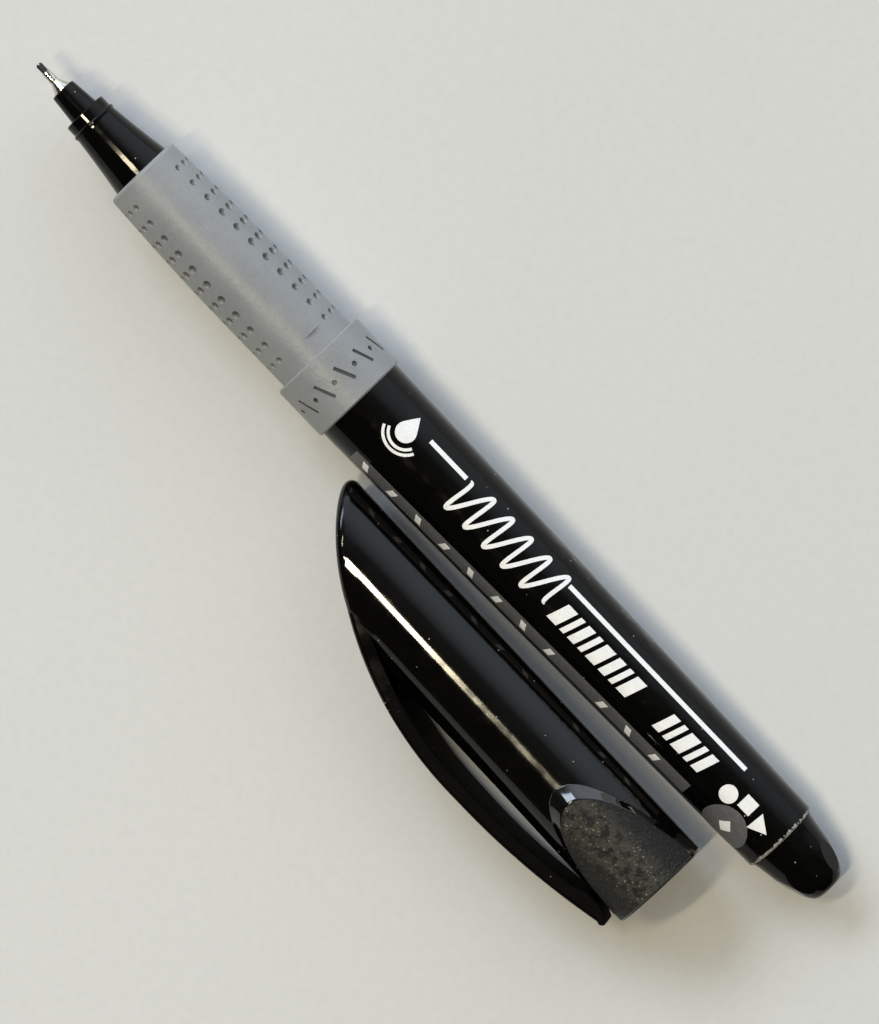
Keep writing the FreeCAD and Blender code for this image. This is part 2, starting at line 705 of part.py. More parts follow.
def laid_down(parts, placement):
    """The parts built, turned by the placement, and lifted until the lowest touches the table."""
    shapes = {}
    for name, make in parts.items():
        shape = make().Solids[0]
        shape.Placement = placement.multiply(shape.Placement)
        shapes[name] = shape
    lowest = min(shape.optimalBoundingBox().ZMin for shape in shapes.values())
    for shape in shapes.values():
        shape.translate(Vector(0, 0, -lowest))
    return shapes


def centred(shapes):
    """The shapes moved in the plane of the table until their common box is centred on the origin."""
    boxes = [shape.optimalBoundingBox() for shape in shapes.values()]
    middle_x = (min(box.XMin for box in boxes) + max(box.XMax for box in boxes)) / 2
    middle_y = (min(box.YMin for box in boxes) + max(box.YMax for box in boxes)) / 2
    for shape in shapes.values():
        shape.translate(Vector(-middle_x, -middle_y, 0))
    return shapes


def main():
    os.makedirs("parts", exist_ok=True)
    shapes = laid_down(PEN_PARTS, pen_placement())
    shapes.update(laid_down(CAP_PARTS, cap_placement()))
    for name, shape in centred(shapes).items():
        shape.exportStep(f"parts/{name}.step")


main()
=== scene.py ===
import json
import math

import bmesh
import bpy
from mathutils import Matrix, Vector
from mathutils.bvhtree import BVHTree


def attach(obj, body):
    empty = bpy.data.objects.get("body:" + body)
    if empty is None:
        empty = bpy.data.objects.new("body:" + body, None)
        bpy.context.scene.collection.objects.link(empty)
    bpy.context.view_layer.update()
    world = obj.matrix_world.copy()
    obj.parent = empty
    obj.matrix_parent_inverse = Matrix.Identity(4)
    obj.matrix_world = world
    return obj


# Looks for the felt tip marker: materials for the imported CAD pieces, the print on the barrel, the
# moulded blends on the cap, and a plain studio. Scene coordinates and relief heights are in metres.
# Everything measured in the pen's or the cap's own frame is in millimetres.

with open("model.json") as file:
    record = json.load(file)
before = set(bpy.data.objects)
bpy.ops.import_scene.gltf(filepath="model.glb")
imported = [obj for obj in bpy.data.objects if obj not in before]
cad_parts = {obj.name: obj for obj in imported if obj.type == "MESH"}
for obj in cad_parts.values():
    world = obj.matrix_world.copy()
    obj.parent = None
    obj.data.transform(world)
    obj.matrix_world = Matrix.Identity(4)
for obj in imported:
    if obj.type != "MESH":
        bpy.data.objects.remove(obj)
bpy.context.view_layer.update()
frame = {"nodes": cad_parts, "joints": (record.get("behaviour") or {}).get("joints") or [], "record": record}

MM = 0.001

# ---------------------------------------------------------------- frames of the pen and the cap
COLLAR_MIDDLE_X = 48.55
BORE_MIDDLE_X = 40.475
BARREL_REAR_X = 120.3
COLLAR_RADIUS = 6.02


def mount(name):
    """Place and direction of one of the record's mounts."""
    found = next(m for m in frame["record"]["mounts"] if m["name"] == name)
    return Vector(found["pos_m"]), Vector(found["axis"])


def placement(point, x_axis, z_axis):
    """Matrix from a frame in millimetres, with this origin and these axes, to the row frame."""
    x_axis = x_axis.normalized()
    y_axis = z_axis.cross(x_axis).normalized()
    z_axis = x_axis.cross(y_axis)
    turn = Matrix((x_axis, y_axis, z_axis)).transposed().to_4x4()
    return Matrix.Translation(point) @ turn @ Matrix.Scale(MM, 4)


def pen_frame():
    """x along the pen from the nib's tip, z up."""
    point, axis = mount("collar")
    return placement(point + axis * COLLAR_MIDDLE_X * MM, -axis, Vector((0, 0, 1)))


def cap_frame():
    """x along the cap from its closed end, z through the upper thumb pad, clip towards -y."""
    point, axis = mount("cap_bore")
    hinge = next(j for j in frame["joints"] if j["name"] == "clip_flex")
    return placement(point - axis * BORE_MIDDLE_X * MM, axis, -Vector(hinge["axis"]))


PEN = pen_frame()
CAP = cap_frame()


# ---------------------------------------------------------------- node helpers
def node(tree, kind, inputs=None, **settings):
    """A shader node. Inputs are sockets to link or plain values to set."""
    made = tree.nodes.new("ShaderNode" + kind)
    for name, value in settings.items():
        setattr(made, name, value)
    for name, value in (inputs or {}).items():
        if isinstance(value, bpy.types.NodeSocket):
            tree.links.new(value, made.inputs[name])
        else:
            made.inputs[name].default_value = value
    return made


def calc(tree, operation, first, second=0.0):
    made = node(tree, "Math", {0: first, 1: second}, operation=operation)
    return made.outputs[0]


def squared(tree, value):
    return calc(tree, "MULTIPLY", value, value)


def dot(tree, first, second):
    """How closely two directions agree, from -1 to 1."""
    inputs = {0: first, 1: second}
    return node(tree, "VectorMath", inputs, operation="DOT_PRODUCT").outputs["Value"]


def remap(tree, value, low, high, to_low=0.0, to_high=1.0):
    """Smooth step from to_low to to_high as value goes from low to high."""
    inputs = {
        "Value": value,
        "From Min": low,
        "From Max": high,
        "To Min": to_low,
        "To Max": to_high,
    }
    return node(tree, "MapRange", inputs, interpolation_type="SMOOTHSTEP").outputs[0]


def inside(tree, value, low, high, soft):
    """1 between low and high, 0 outside, with soft edges."""
    rise = remap(tree, value, low - soft, low + soft)
    fall = remap(tree, value, high - soft, high + soft, 1.0, 0.0)
    return calc(tree, "MULTIPLY", rise, fall)


def mix_colour(tree, factor, first, second):
    """First where the factor is 0, second where it is 1."""
    made = node(tree, "Mix", data_type="RGBA")
    # Of the sockets for all its data types, 0 is the factor, 6 and 7 the colours and 2 the result.
    for index, value in ((0, factor), (6, first), (7, second)):
        if isinstance(value, bpy.types.NodeSocket):
            tree.links.new(value, made.inputs[index])
        else:
            made.inputs[index].default_value = value
    return made.outputs[2]


def local_point(tree, place):
    """The surface point in a piece's own frame, in millimetres."""
    inverse = place.inverted()
    where = node(tree, "TexCoord").outputs["Object"]
    inputs = {
        "Vector": where,
        "Location": inverse.to_translation(),
        "Rotation": inverse.to_euler("XYZ"),
        "Scale": inverse.to_scale(),
    }
    return node(tree, "Mapping", inputs, vector_type="POINT").outputs[0]


def stretched(tree, point, along, across):
    """The point with its x and its y and z scaled apart, for streaks and rings."""
    inputs = {"Vector": point, "Scale": (along, across, across)}
    return node(tree, "Mapping", inputs, vector_type="POINT").outputs[0]


def noise(tree, point, scale, detail=3.0, roughness=0.55):
    inputs = {"Vector": point, "Scale": scale, "Detail": detail, "Roughness": roughness}
    return node(tree, "TexNoise", inputs).outputs["Fac"]


def bump(tree, height, distance, under=None):
    """Surface relief. Distance is the height in metres that 1 stands for."""
    inputs = {"Height": height, "Distance": distance, "Strength": 1.0}
    if under is not None:
        inputs["Normal"] = under
    return node(tree, "Bump", inputs).outputs[0]


def axis_radius(tree, point):
    """(x along the axis, distance from the axis) of a point in a piece's own frame."""
    parts = node(tree, "SeparateXYZ", {0: point}).outputs
    reach = calc(tree, "ADD", squared(tree, parts[1]), squared(tree, parts[2]))
    return parts[0], calc(tree, "SQRT", reach)


def shader(name):
    """A new material, its node tree and its Principled shader."""
    material = bpy.data.materials.new(name)
    material.use_nodes = True
    tree = material.node_tree
    return material, tree, tree.nodes["Principled BSDF"]


def feed(tree, principled, **values):
    """Links or sets the shader's sockets, with _ for a space in their names."""
    for name, value in values.items():
        socket = principled.inputs[name.replace("_", " ")]
        if isinstance(value, bpy.types.NodeSocket):
            tree.links.new(value, socket)
        else:
            socket.default_value = value


# ---------------------------------------------------------------- mesh helpers
def mesh_object(name, points, faces, material):
    """An object in the scene from points and faces, with one material."""
    mesh = bpy.data.meshes.new(name)
    mesh.from_pydata([tuple(point) for point in points], [], faces)
    mesh.materials.append(material)
    made = bpy.data.objects.new(name, mesh)
    bpy.context.scene.collection.objects.link(made)
    return made


def face_outward(mesh, smooth):
    """Turns every face of a closed mesh outward, and shades the faces smooth or flat."""
    shape = bmesh.new()
    shape.from_mesh(mesh)
    bmesh.ops.recalc_face_normals(shape, faces=shape.faces[:])
    for face in shape.faces:
        face.smooth = smooth
    shape.to_mesh(mesh)
    shape.free()


# ---------------------------------------------------------------- materials
BLACK = (0.0014, 0.0013, 0.0012, 1)
FADED_BLACK = (0.0024, 0.0023, 0.0022, 1)
SCRATCH_COLOUR = (0.05, 0.05, 0.05, 1)
GLOSS_LEVEL = 0.2
DUST_COLOUR = (0.5, 0.47, 0.42, 1)
DUST_HEIGHT = 0.00004


def dust_mask(tree, point, share, cell=1.3, size=0.085):
    """Sparse specks of dust: small balls in a share of the cells of a random pattern."""
    pattern = node(tree, "TexVoronoi", {"Vector": point, "Scale": 1 / cell})
    near = remap(tree, pattern.outputs["Distance"], size * 0.5, size, 1.0, 0.0)
    pick = node(tree, "SeparateColor", {0: pattern.outputs["Color"]}).outputs[0]
    chosen = calc(tree, "GREATER_THAN", pick, 1 - share)
    return calc(tree, "MULTIPLY", near, chosen)


def fine_scratches(tree, point):
    """Thin broken lines, mostly lengthwise, where the gloss is rubbed."""
    lines = noise(tree, stretched(tree, point, 0.35, 9.0), 1.0, 2.0)
    thin = remap(tree, lines, 0.66, 0.70)
    breaks = remap(tree, noise(tree, point, 0.7, 2.0), 0.52, 0.62)
    return calc(tree, "MULTIPLY", thin, breaks)


def gloss_base(name, place, roughness=0.07, dust=0.4, wave=0.004, level=GLOSS_LEVEL):
    """Glossy moulded black plastic with rubbed lines, dust and waves that are wave mm high."""
    material, tree, principled = shader(name)
    point = local_point(tree, place)
    specks = dust_mask(tree, point, dust)
    scratches = fine_scratches(tree, point)
    blotch = noise(tree, point, 0.35, 4.0)
    waves = noise(tree, stretched(tree, point, 0.12, 0.5), 1.0, 2.0)
    relief = bump(tree, waves, wave * MM)
    relief = bump(tree, specks, DUST_HEIGHT, under=relief)
    rubbed = calc(tree, "MULTIPLY", scratches, 0.16)
    gloss = remap(tree, blotch, 0.3, 0.75, roughness * 0.75, roughness * 1.7)
    gloss = calc(tree, "ADD", gloss, rubbed)
    gloss = calc(tree, "MAXIMUM", gloss, calc(tree, "MULTIPLY", specks, 0.8))
    tint = mix_colour(tree, remap(tree, blotch, 0.3, 0.8), BLACK, FADED_BLACK)
    tint = mix_colour(tree, calc(tree, "MULTIPLY", scratches, 0.12), tint, SCRATCH_COLOUR)
    colour = mix_colour(tree, specks, tint, DUST_COLOUR)
    feed(tree, principled, Base_Color=colour, Roughness=gloss, Normal=relief)
    feed(tree, principled, Specular_IOR_Level=level)
    return material, tree, principled, point, colour, gloss, relief


def gloss_plastic(name, place, **look):
    return gloss_base(name, place, **look)[0]


WORN_PLASTIC = (0.42, 0.41, 0.38, 1)
# How far ahead of the barrel's rear edge the wear begins, and where it is complete.
WEAR_BEGINS = 0.42
WEAR_FULL = 0.24


def barrel_plastic():
    """Glossy black, rubbed pale along the barrel's rear edge."""
    material, tree, principled, point, colour, gloss, _ = gloss_base("barrel_gloss", PEN, dust=0.45)
    x, _ = axis_radius(tree, point)
    ragged = calc(tree, "MULTIPLY", calc(tree, "SUBTRACT", noise(tree, point, 1.6, 4.0), 0.5), 0.9)
    ragged_x = calc(tree, "ADD", x, ragged)
    edge = remap(tree, ragged_x, BARREL_REAR_X - WEAR_BEGINS, BARREL_REAR_X - WEAR_FULL)
    worn = calc(tree, "MULTIPLY", edge, remap(tree, noise(tree, point, 2.3, 3.0), 0.38, 0.52))
    feed(tree, principled, Base_Color=mix_colour(tree, worn, colour, WORN_PLASTIC))
    rough = calc(tree, "MAXIMUM", gloss, calc(tree, "MULTIPLY", worn, 0.6))
    feed(tree, principled, Roughness=rough)
    return material


CAP_LENGTH = 57.2
PAD_LENGTH = 13.9
PAD_HALF_WIDTH = 5.5
PAD_FLOOR_RADIUS = 5.7
PAD_BLACK = (0.0045, 0.0043, 0.0036, 1)
# Painted sheen: a brownish colour for the pads' middle band, where the lamp's light falls.
PAD_PAINTED_SHEEN = (0.052, 0.048, 0.036, 1)
# Painted glints: a bright colour for grain specks, standing for the lamp's highlight on the grain.
PAINTED_GLINT_COLOUR = (0.42, 0.37, 0.24, 1)
GRAIN_HEIGHT = 0.00022


def pad_mask(tree, point):
    """1 on the flat tops of the two thumb pads."""
    x, y, _ = node(tree, "SeparateXYZ", {0: point}).outputs
    along = calc(tree, "DIVIDE", calc(tree, "SUBTRACT", x, CAP_LENGTH), PAD_LENGTH)
    across = calc(tree, "DIVIDE", y, PAD_HALF_WIDTH)
    reach = calc(tree, "ADD", squared(tree, along), squared(tree, across))
    oval = remap(tree, reach, 0.975, 0.995, 1.0, 0.0)
    _, radius = axis_radius(tree, point)
    outside = remap(tree, radius, PAD_FLOOR_RADIUS, PAD_FLOOR_RADIUS + 0.1)
    clear_of_mouth = remap(tree, x, CAP_LENGTH - 0.32, CAP_LENGTH - 0.18, 1.0, 0.0)
    return calc(tree, "MULTIPLY", calc(tree, "MULTIPLY", oval, outside), clear_of_mouth)


def cap_plastic():
    """Glossy black, with a spark-eroded grain on the thumb pads, and a painted sheen and painted glints
    along their middle.
    """
    base = gloss_base("cap_gloss", CAP, level=0.34)
    material, tree, principled, point, colour, gloss, relief = base
    pad = pad_mask(tree, point)
    grain = noise(tree, point, 3.2, 3.0, 0.7)
    height = calc(tree, "MULTIPLY", grain, pad)
    relief = bump(tree, height, GRAIN_HEIGHT, under=relief)
    _, y, _ = node(tree, "SeparateXYZ", {0: point}).outputs
    # Painted sheen: brownish patches only along the middle of the pads, where the lamp's light falls.
    middle = remap(tree, calc(tree, "ABSOLUTE", y), 0.6, 4.2, 1.0, 0.0)
    painted_sheen = calc(tree, "MULTIPLY", middle, remap(tree, noise(tree, point, 0.9, 3.0), 0.35, 0.6))
    matt = mix_colour(tree, painted_sheen, PAD_BLACK, PAD_PAINTED_SHEEN)
    # Painted glints: grain specks tinted bright, most of all where the painted sheen is.
    specks = dust_mask(tree, point, share=0.5, cell=0.3, size=0.42)
    painted_glints = calc(tree, "MULTIPLY", specks, remap(tree, grain, 0.45, 0.62))
    painted_shine = calc(tree, "MULTIPLY", painted_glints, remap(tree, painted_sheen, 0.0, 1.0, 0.15, 1.0))
    matt = mix_colour(tree, painted_shine, matt, PAINTED_GLINT_COLOUR)
    feed(tree, principled, Base_Color=mix_colour(tree, pad, colour, matt))
    dull = calc(tree, "MULTIPLY", pad, remap(tree, grain, 0.3, 0.7, 0.42, 0.3))
    feed(tree, principled, Roughness=calc(tree, "ADD", dull, gloss), Normal=relief)
    return material


def clip_plastic():
    """Glossy black outside, dull on its flat sides and on its inner face."""
    base = gloss_base("clip_gloss", CAP, roughness=0.08, level=0.06)
    material, tree, principled, _, _, gloss, _ = base
    facing = node(tree, "TexCoord").outputs["Normal"]
    outward = (CAP.to_3x3() @ Vector((0, -1, 0))).normalized()
    polished = remap(tree, dot(tree, facing, outward), 0.15, 0.5)
    dull = remap(tree, polished, 0.0, 1.0, 0.65, 0.0)
    feed(tree, principled, Roughness=calc(tree, "MAXIMUM", gloss, dull))
    return material


ORNAMENT_X = 48.65
ORNAMENT_REACH = 1.6
GRIP_X = 16.7
GRIP_END_X = 45.1
GRIP_FRONT_RADIUS = 4.66
GRIP_REAR_RADIUS = 5.14
GRIP_SWELL_LENGTH = 17.0
GRIP_GREY = (0.265, 0.275, 0.29, 1)
GRIP_PALE = (0.295, 0.305, 0.315, 1)
GRIP_SPECKLE = (0.14, 0.145, 0.15, 1)
GRIP_SCUFF = (0.55, 0.56, 0.58, 1)
# Painted shade for the floor of the collar's engraving, where shade falls.
ENGRAVING_PAINTED_SHADE = (0.03, 0.031, 0.034, 1)
# Painted shade for the dimples of the grip, where shade falls.
DIMPLE_PAINTED_SHADE = (0.05, 0.052, 0.056, 1)


def grip_depth(tree, x, radius):
    """How far a point lies below the grip's swelling outer surface, in millimetres."""
    reach = calc(tree, "DIVIDE", calc(tree, "SUBTRACT", x, GRIP_X), GRIP_SWELL_LENGTH)
    share = calc(tree, "MINIMUM", reach, 1.0)
    swell = calc(tree, "SINE", calc(tree, "MULTIPLY", share, math.pi / 2))
    growth = calc(tree, "MULTIPLY", swell, GRIP_REAR_RADIUS - GRIP_FRONT_RADIUS)
    surface = calc(tree, "ADD", growth, GRIP_FRONT_RADIUS)
    return calc(tree, "SUBTRACT", surface, radius)


def grip_plastic():
    """Satin grey plastic, mottled and scuffed, with painted shade in its engraving and dimples."""
    material, tree, principled = shader("grip_satin")
    point = local_point(tree, PEN)
    x, radius = axis_radius(tree, point)
    cloud = noise(tree, point, 0.16, 4.0)
    speckle = noise(tree, point, 4.5, 2.0)
    colour = mix_colour(tree, remap(tree, cloud, 0.3, 0.7), GRIP_GREY, GRIP_PALE)
    darker = calc(tree, "MULTIPLY", remap(tree, speckle, 0.45, 0.75), 0.16)
    colour = mix_colour(tree, darker, colour, GRIP_SPECKLE)
    # Painted shade: the floor of the collar's engraved grooves is darkened.
    band = inside(tree, x, ORNAMENT_X - ORNAMENT_REACH, ORNAMENT_X + ORNAMENT_REACH, 0.05)
    sunk = remap(tree, radius, COLLAR_RADIUS - 0.2, COLLAR_RADIUS - 0.06, 0.8, 0.0)
    engraving_shade = calc(tree, "MULTIPLY", band, sunk)
    colour = mix_colour(tree, engraving_shade, colour, ENGRAVING_PAINTED_SHADE)
    # Painted shade: the dimples darken the deeper a point lies below the grip's surface.
    on_grip = inside(tree, x, GRIP_X + 1.0, GRIP_END_X - 1.0, 0.3)
    deep = remap(tree, grip_depth(tree, x, radius), 0.05, 0.3, 0.0, 0.62)
    pit_shade = calc(tree, "MULTIPLY", on_grip, deep)
    colour = mix_colour(tree, pit_shade, colour, DIMPLE_PAINTED_SHADE)
    scuffs = fine_scratches(tree, point)
    colour = mix_colour(tree, calc(tree, "MULTIPLY", scuffs, 0.3), colour, GRIP_SCUFF)
    relief = bump(tree, speckle, 0.00002)
    relief = bump(tree, noise(tree, point, 0.9, 3.0), 0.00006, under=relief)
    rough = remap(tree, cloud, 0.25, 0.75, 0.36, 0.46)
    feed(tree, principled, Base_Color=colour, Roughness=rough, Normal=relief, IOR=1.48)
    return material


def drawn_metal():
    """Polished tube with fine rings from drawing and a few dull smears of ink."""
    material, tree, principled = shader("ferrule_polish")
    point = local_point(tree, PEN)
    rings = noise(tree, stretched(tree, point, 14.0, 0.6), 1.0, 2.0)
    smear = remap(tree, noise(tree, point, 1.3, 3.0), 0.58, 0.7)
    colour = mix_colour(tree, smear, (0.62, 0.59, 0.54, 1), (0.22, 0.20, 0.18, 1))
    rough = remap(tree, rings, 0.3, 0.7, 0.05, 0.13)
    rough = calc(tree, "ADD", rough, calc(tree, "MULTIPLY", smear, 0.25))
    relief = bump(tree, rings, 0.000004)
    feed(tree, principled, Base_Color=colour, Roughness=rough, Normal=relief, Metallic=1.0)
    return material


def bonded_fibre(name, place, dark, light, roughness):
    """Lengthwise bonded fibres soaked with ink."""
    material, tree, principled = shader(name)
    point = local_point(tree, place)
    strands = noise(tree, stretched(tree, point, 0.4, 16.0), 1.0, 3.0)
    wet = noise(tree, point, 2.0, 3.0)
    colour = mix_colour(tree, remap(tree, strands, 0.4, 0.65), dark, light)
    rough = remap(tree, wet, 0.3, 0.7, roughness * 0.7, roughness * 1.15)
    relief = bump(tree, strands, 0.00003)
    feed(tree, principled, Base_Color=colour, Roughness=rough, Normal=relief)
    return material


def clear_film():
    """Thin clear film round the reservoir, with lengthwise draw lines."""
    material, tree, principled = shader("reservoir_clear_film")
    point = local_point(tree, PEN)
    lines = noise(tree, stretched(tree, point, 0.1, 3.0), 1.0, 3.0)
    relief = bump(tree, lines, 0.00002)
    rough = remap(tree, lines, 0.3, 0.7, 0.08, 0.22)
    cloudy, clear = (0.80, 0.82, 0.85, 1), (0.88, 0.89, 0.91, 1)
    colour = mix_colour(tree, remap(tree, lines, 0.3, 0.7), cloudy, clear)
    feed(tree, principled, Base_Color=colour, Roughness=rough, Normal=relief)
    feed(tree, principled, Transmission_Weight=0.85, IOR=1.45)
    return material


def natural_plastic():
    """Milky unpigmented plastic with a faint cloudiness."""
    material, tree, principled = shader("liner_milky")
    point = local_point(tree, CAP)
    cloud = noise(tree, point, 0.5, 4.0)
    milky, pale = (0.66, 0.66, 0.62, 1), (0.74, 0.74, 0.70, 1)
    colour = mix_colour(tree, remap(tree, cloud, 0.3, 0.7), milky, pale)
    rough = remap(tree, cloud, 0.3, 0.7, 0.32, 0.45)
    relief = bump(tree, noise(tree, point, 3.0, 2.0), 0.00002)
    feed(tree, principled, Base_Color=colour, Roughness=rough, Normal=relief)
    return material


def printed_ink(name, colour, worn, roughness):
    """Screen printed ink: slightly uneven, with pinholes where the black shows through."""
    material, tree, principled = shader(name)
    point = local_point(tree, PEN)
    uneven = noise(tree, point, 3.0, 3.0)
    pinholes = remap(tree, noise(tree, point, 5.5, 2.0), 0.70, 0.76)
    tint = mix_colour(tree, remap(tree, uneven, 0.35, 0.75), colour, worn)
    tint = mix_colour(tree, pinholes, tint, (0.02, 0.02, 0.02, 1))
    rough = remap(tree, uneven, 0.3, 0.7, roughness, roughness + 0.12)
    relief = bump(tree, uneven, 0.000008)
    feed(tree, principled, Base_Color=tint, Roughness=rough, Normal=relief)
    return material


def set_material(name, material):
    """Gives a CAD node this material in its own slots."""
    for slot in frame["nodes"][name].material_slots:
        slot.material = material


def dress_cad_nodes():
    ink_dark = (0.004, 0.004, 0.005, 1)
    ink_light = (0.03, 0.028, 0.026, 1)
    set_material("nib", bonded_fibre("nib_fibre_look", PEN, ink_dark, ink_light, 0.5))
    set_material("nib_ferrule", drawn_metal())
    holder = gloss_plastic("holder_gloss", PEN, roughness=0.06, dust=0.3, wave=0.001)
    set_material("nib_holder", holder)
    front = gloss_plastic("front_gloss", PEN, roughness=0.06, dust=0.3, wave=0.002)
    set_material("front_section", front)
    set_material("grip_sleeve", grip_plastic())
    set_material("barrel", barrel_plastic())
    tail = gloss_plastic("tail_gloss", PEN, roughness=0.09, dust=0.4, wave=0.002)
    set_material("tail_plug", tail)
    set_material("cap_shell", cap_plastic())
    set_material("cap_clip", clip_plastic())
    set_material("cap_liner", natural_plastic())
    soaked = (0.012, 0.012, 0.02, 1)
    set_material("feed_wick", bonded_fibre("wick_fibre_look", PEN, ink_dark, soaked, 0.6))
    set_material("ink_reservoir", bonded_fibre("reservoir_fibre_look", PEN, ink_dark, soaked, 0.7))
    set_material("reservoir_film", clear_film())


# ---------------------------------------------------------------- print on the barrel
# A drawing is a set of flat polygons in millimetres: x along the pen, s round the barrel from
# its top line, towards +y. It is cut into narrow strips, then wrapped on the barrel as a closed
# film of ink.
STRIP_LENGTH = 4.0
STRIP_WIDTH = 0.3
INK_LIFT = 0.03
INK_SINK = 0.02
OVERPRINT = 0.02


def barrel_surface():
    """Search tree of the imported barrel's surface."""
    mesh = frame["nodes"]["barrel"].data
    points = [vertex.co.copy() for vertex in mesh.vertices]
    return BVHTree.FromPolygons(points, [tuple(face.vertices) for face in mesh.polygons])


SURFACE = barrel_surface()


def on_barrel(x, angle, lift):
    """Point in the row frame, lift above the barrel's surface.

    The angle is from the barrel's top line, in radians.
    """
    outward = Vector((0, math.sin(angle), math.cos(angle)))
    start = PEN @ (Vector((x, 0, 0)) + outward * 2 * COLLAR_RADIUS)
    direction = (PEN.to_3x3() @ -outward).normalized()
    hit = SURFACE.ray_cast(start, direction)[0]
    return hit - direction * lift * MM


def barrel_radius(x):
    """Radius of the barrel at x, in millimetres."""
    top = PEN.inverted() @ on_barrel(x, 0, 0)
    return math.hypot(top.y, top.z)


def cut_in_strips(flat):
    """Cuts the flat drawing along even lines, so that it can bend round the barrel."""
    for axis, step in ((0, STRIP_LENGTH), (1, STRIP_WIDTH)):
        values = [vertex.co[axis] for vertex in flat.verts]
        normal = Vector((1, 0, 0)) if axis == 0 else Vector((0, 1, 0))
        first = math.floor(min(values) / step) + 1
        for index in range(first, math.ceil(max(values) / step)):
            everything = flat.verts[:] + flat.edges[:] + flat.faces[:]
            cut = normal * index * step
            bmesh.ops.bisect_plane(flat, geom=everything, plane_co=cut, plane_no=normal)


def add_polygon(flat, outline):
    flat.faces.new([flat.verts.new((x, s, 0)) for x, s in outline])


def ink_film(name, polygons, material, level=0):
    """Closed film of ink wrapped on the barrel. A higher level is printed over a lower one."""
    flat = bmesh.new()
    for outline in polygons:
        add_polygon(flat, outline)
    cut_in_strips(flat)
    bmesh.ops.recalc_face_normals(flat, faces=flat.faces[:])
    for face in flat.faces:
        if face.normal.z < 0:
            face.normal_flip()
    flat.verts.index_update()
    top, bottom = [], []
    for vertex in flat.verts:
        x, s, _ = vertex.co
        angle = s / barrel_radius(x)
        top.append(on_barrel(x, angle, INK_LIFT + level * OVERPRINT))
        bottom.append(on_barrel(x, angle, -INK_SINK))
    count = len(top)
    faces = [[v.index for v in face.verts] for face in flat.faces]
    sunk = [[index + count for index in reversed(face)] for face in faces]
    sides = []
    for face in flat.faces:
        for loop in face.loops:
            if len(loop.edge.link_faces) == 1:
                first, last = loop.vert.index, loop.link_loop_next.vert.index
                sides.append([last, first, first + count, last + count])
    flat.free()
    piece = mesh_object(name, top + bottom, faces + sunk + sides, material)
    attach(piece, "pen")


def ribbon(points, width):
    """Quads along a line of (x, s) points, with a constant width."""
    quads = []
    sides = []
    for index, (x, s) in enumerate(points):
        before = points[max(index - 1, 0)]
        after = points[min(index + 1, len(points) - 1)]
        run = Vector((after[0] - before[0], after[1] - before[1])).normalized()
        offset = Vector((-run.y, run.x)) * width / 2
        sides.append(((x + offset.x, s + offset.y), (x - offset.x, s - offset.y)))
    for (left, right), (next_left, next_right) in zip(sides, sides[1:]):
        quads.append([left, right, next_right, next_left])
    return quads


def on_circle(x, s, radius, angles):
    """Points at these angles, in radians, on a circle round (x, s)."""
    return [(x + radius * math.cos(angle), s + radius * math.sin(angle)) for angle in angles]


def disc(x, s, radius, corners=40):
    turn = 2 * math.pi / corners
    return on_circle(x, s, radius, [i * turn for i in range(corners)])


def slanted(x, s, width, height, lean):
    """Parallelogram centred on (x, s) that leans towards the tail, by lean degrees."""
    half, up = width / 2, height / 2
    shift = up * math.tan(math.radians(lean))
    return [(x - half - shift, s - up), (x + half - shift, s - up),
            (x + half + shift, s + up), (x - half + shift, s + up)]


def ink_drop(x, s, radius, point_height):
    """Drop shape: a round belly that runs up to a point."""
    belly = [math.radians(degrees) for degrees in range(150, 391, 8)]
    return [(x, s + point_height)] + on_circle(x, s, radius, belly)


def print_emblem(white):
    """Ink drop above two ripples, near the collar."""
    middle_x, middle_s = 58.15, 1.15
    ripple_radii, ripple_width = (2.0, 2.6), 0.34
    polygons = [ink_drop(middle_x, middle_s, radius=1.25, point_height=2.5)]
    turns = [math.radians(205 + step * 8.125) for step in range(17)]
    for radius in ripple_radii:
        polygons += ribbon(on_circle(middle_x, middle_s, radius, turns), ripple_width)
    ink_film("print_emblem", polygons, white)


def print_lines(white):
    """Two thin lines that lead the flourish in and out."""
    middle_s, width = 2.5, 0.58
    low, high = middle_s - width / 2, middle_s + width / 2
    polygons = []
    for start, end in ((60.8, 66.6), (83.2, 111.7)):
        polygons.append([(start, low), (end, low), (end, high), (start, high)])
    ink_film("print_lines", polygons, white)


def print_flourish(white):
    """Slanted pen stroke that swings up and down in even waves."""
    start_x, end_x = 66.6, 83.2
    waves = 5.5
    amplitude = 2.35
    middle_s = 0.85
    lean = 0.35
    width = 0.5
    end_height, end_growth = 0.72, 6
    steps = 220
    points = []
    for step in range(steps + 1):
        share = step / steps
        fade = min(1.0, end_growth * share + end_height, end_growth * (1 - share) + end_height)
        swing = math.cos(share * waves * 2 * math.pi) * amplitude * fade
        points.append((start_x + (end_x - start_x) * share + lean * swing, middle_s + swing))
    ink_film("print_flourish", ribbon(points, width), white)


def print_bars(white):
    """Row of bold slanted bars of changing width, in two groups."""
    height = 2.72
    middle_s = -0.43
    gap = 0.55
    lean = 17
    groups = ((84.2, (1.5, 0.7, 1.1, 0.7, 1.5, 1.1, 0.7, 1.5)), (101.2, (1.1, 0.7, 1.5, 0.7, 1.1)))
    polygons = []
    for start_x, widths in groups:
        x = start_x
        for width in widths:
            polygons.append(slanted(x + width / 2, middle_s, width, height, lean))
            x += width + gap
    ink_film("print_bars", polygons, white)


SIZE_DISC = (114.7, -4.5)
SIZE_DISC_RADIUS = 3.0


